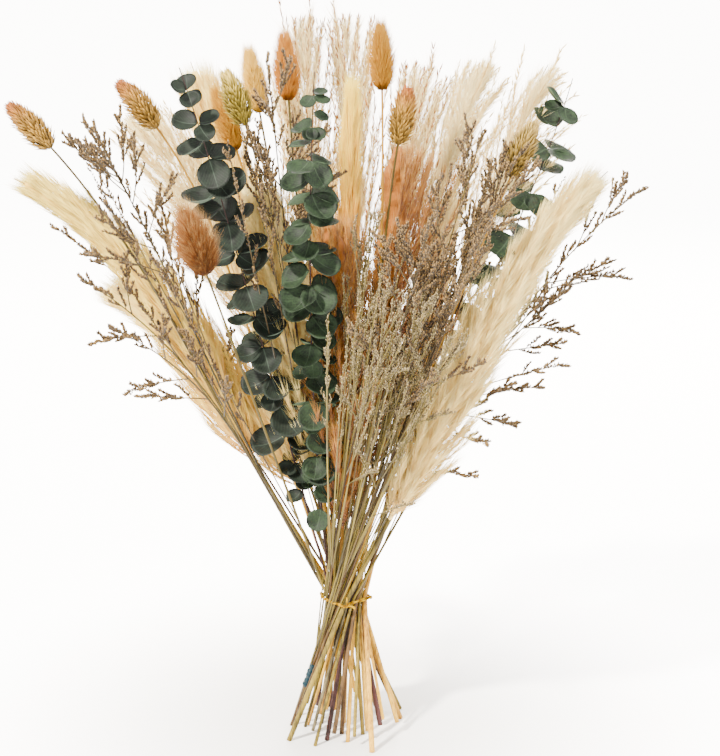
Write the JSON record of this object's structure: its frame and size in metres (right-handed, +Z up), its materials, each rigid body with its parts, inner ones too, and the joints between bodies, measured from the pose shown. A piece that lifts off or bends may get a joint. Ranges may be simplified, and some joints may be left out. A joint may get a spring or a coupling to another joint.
{
  "type": "bundle of dried pampas grass",
  "caption": "Tied bundle of dried pampas plumes, reed plumes, eucalyptus, bunny tails, canary grass and sea lavender, standing on its splayed cut stems.",
  "frame": {"origin": "middle of the flat cut end of the centre pampas stem, on the surface that the bundle stands on", "axes": "+Z up along the bundle, +X to the right of its front, -Y towards the front"},
  "size_m": [0.3664, 0.2325, 0.4499],
  "materials": {
    "pampas": "matte",
    "terracotta": "matte",
    "reed": "matte",
    "eucalyptus": "matte",
    "bunny": "matte",
    "canary": "matte",
    "limonium": "matte",
    "fluff": "matte",
    "tie": "matte",
    "tape": "matte"
  },
  "bodies": {
    "root": {"bunny_back": "bunny", "bunny_cream": "bunny", "bunny_front": "bunny", "bunny_left": "bunny", "bunny_orange": "bunny", "bunny_top": "bunny", "canary_back": "canary", "canary_centre": "canary", "canary_far_left": "canary", "canary_left": "canary", "canary_middle": "canary", "canary_right": "canary", "eucalyptus_back": "eucalyptus", "eucalyptus_centre": "eucalyptus", "eucalyptus_left": "eucalyptus", "eucalyptus_right": "eucalyptus", "fluff_far_right": "fluff", "fluff_front": "fluff", "fluff_middle": "fluff", "fluff_right": "fluff", "limonium_back_right": "limonium", "limonium_edge_right": "limonium", "limonium_far_right": "limonium", "limonium_left_edge": "limonium", "limonium_left_low": "limonium", "limonium_left_mid": "limonium", "limonium_left_top": "limonium", "limonium_low_right": "limonium", "limonium_mid_right": "limonium", "limonium_right": "limonium", "limonium_top": "limonium", "limonium_upper_right": "limonium", "pampas_back_left": "pampas", "pampas_back_right": "pampas", "pampas_centre": "pampas", "pampas_inner": "pampas", "pampas_left": "pampas", "pampas_left_low": "pampas", "pampas_right": "pampas", "reed_back": "reed", "reed_far_right": "reed", "reed_left": "reed", "reed_right": "reed", "reed_top": "reed", "reed_top_left": "reed", "reed_top_right": "reed", "tape": "tape", "terracotta_middle": "terracotta", "terracotta_right": "terracotta", "tie": "tie"}
  },
  "joints": []
}
